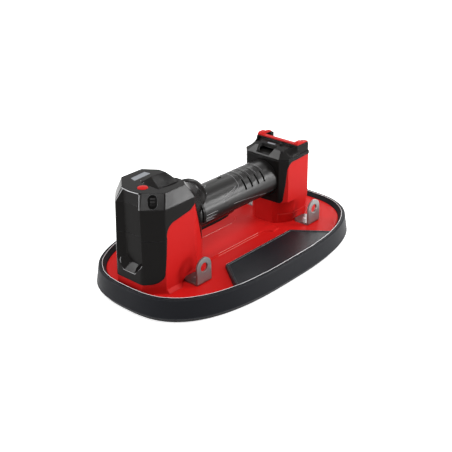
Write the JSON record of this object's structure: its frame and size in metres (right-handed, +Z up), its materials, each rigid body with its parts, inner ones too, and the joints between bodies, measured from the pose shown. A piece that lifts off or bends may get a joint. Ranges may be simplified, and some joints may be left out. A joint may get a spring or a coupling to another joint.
{
  "type": "vacuum suction lifter",
  "caption": "Cordless vacuum suction lifter: oval sealed base, pump tower, battery dock tower, bar handle with release trigger, lifting brackets",
  "frame": {"origin": "centre of the oval base, on the plane that the sealing foam rests on", "axes": "+Z up, +X from the pump tower to the battery dock tower, -Y the side the picture shows"},
  "size_m": [0.2961, 0.1762, 0.1182],
  "materials": {
    "black_plastic": "fine texture",
    "board_green": "solder mask",
    "brass_parts": "turned",
    "chip_black": "moulded",
    "copper_wire": "enamelled copper",
    "dark_plastic": "matt",
    "diaphragm_rubber": "moulded",
    "display_lens": "smoked lens",
    "filter_felt": "felt",
    "grip_soft": "soft overmould",
    "hose_clear": "silicone",
    "magnet_ferrite": "sintered",
    "motor_steel": "nickel plated",
    "panel_rubber": "satin",
    "red_button": "smooth moulded",
    "red_plastic": "smooth moulded",
    "rotor_steel": "laminated",
    "screw_steel": "zinc plated",
    "seal_foam": "closed-cell foam rubber",
    "skirt_rubber": "satin moulded rubber",
    "spring_steel": "drawn wire",
    "stainless": "brushed stainless",
    "wire_cover": "insulated"
  },
  "bodies": {
    "lifter": {"base_plate": "red_plastic", "base_screws": "screw_steel", "board_parts": "chip_black", "bracket_far_front": "stainless", "bracket_far_rear": "stainless", "bracket_near_front": "stainless", "bracket_near_rear": "stainless", "button_spring": "spring_steel", "check_valves": "diaphragm_rubber", "control_board": "board_green", "display_window": "display_lens", "dock_cap": "black_plastic", "dock_contacts": "brass_parts", "dock_front_cover": "black_plastic", "dock_housing": "red_plastic", "dock_rail_bar": "red_plastic", "exhaust_port": "dark_plastic", "filter_cap": "dark_plastic", "filter_disc": "filter_felt", "foam_seal": "seal_foam", "front_cover_lower": "black_plastic", "front_cover_upper": "black_plastic", "grip_lower": "black_plastic", "grip_upper": "grip_soft", "handle_collar": "black_plastic", "motor_can": "motor_steel", "motor_endcap": "dark_plastic", "motor_magnets": "magnet_ferrite", "pressure_sensor": "chip_black", "pump_cap": "black_plastic", "pump_covers": "dark_plastic", "pump_diaphragms": "diaphragm_rubber", "pump_head": "dark_plastic", "pump_housing": "red_plastic", "release_hose": "diaphragm_rubber", "seal_skirt": "skirt_rubber", "side_panel_far": "panel_rubber", "side_panel_near": "panel_rubber", "status_strip": "display_lens", "terminal_block": "dark_plastic", "trigger_pin": "screw_steel", "vacuum_hose": "hose_clear", "valve_body": "dark_plastic", "valve_spring": "spring_steel", "wire_loom": "wire_cover"},
    "button": {"power_button": "red_button"},
    "trigger": {"release_trigger": "black_plastic"},
    "valve": {"valve_stem": "brass_parts"},
    "rotor": {"pump_rotor": "rotor_steel", "motor_windings": "copper_wire", "pump_eccentric": "brass_parts"}
  },
  "joints": [
    {"name": "button_press", "type": "slide", "parent": "lifter", "child": "button", "axis": [0, 0, -1], "range_m": [0, 0.0016], "stiffness_N_per_m": 900, "springref_m": -0.0008, "deforming": ["button_spring"]},
    {"name": "trigger_squeeze", "type": "hinge", "parent": "lifter", "child": "trigger", "pos_m": [-0.0505, 0, 0.0604], "axis": [0, -1, 0], "range_deg": [0, 4.5], "stiffness_Nm_per_rad": 1.5, "springref_deg": -2.86},
    {"name": "valve_lift", "type": "slide", "parent": "lifter", "child": "valve", "axis": [0, 0, 1], "range_m": [0, 0.0018], "deforming": ["valve_spring"]},
    {"name": "rotor_spin", "type": "hinge", "parent": "lifter", "child": "rotor", "pos_m": [-0.104, 0, 0.07], "axis": [0, 0, 1], "continuous": true}
  ],
  "couplings": [
    {"joint": "valve_lift", "follows": "trigger_squeeze", "m_per_rad": 0.0225}
  ]
}
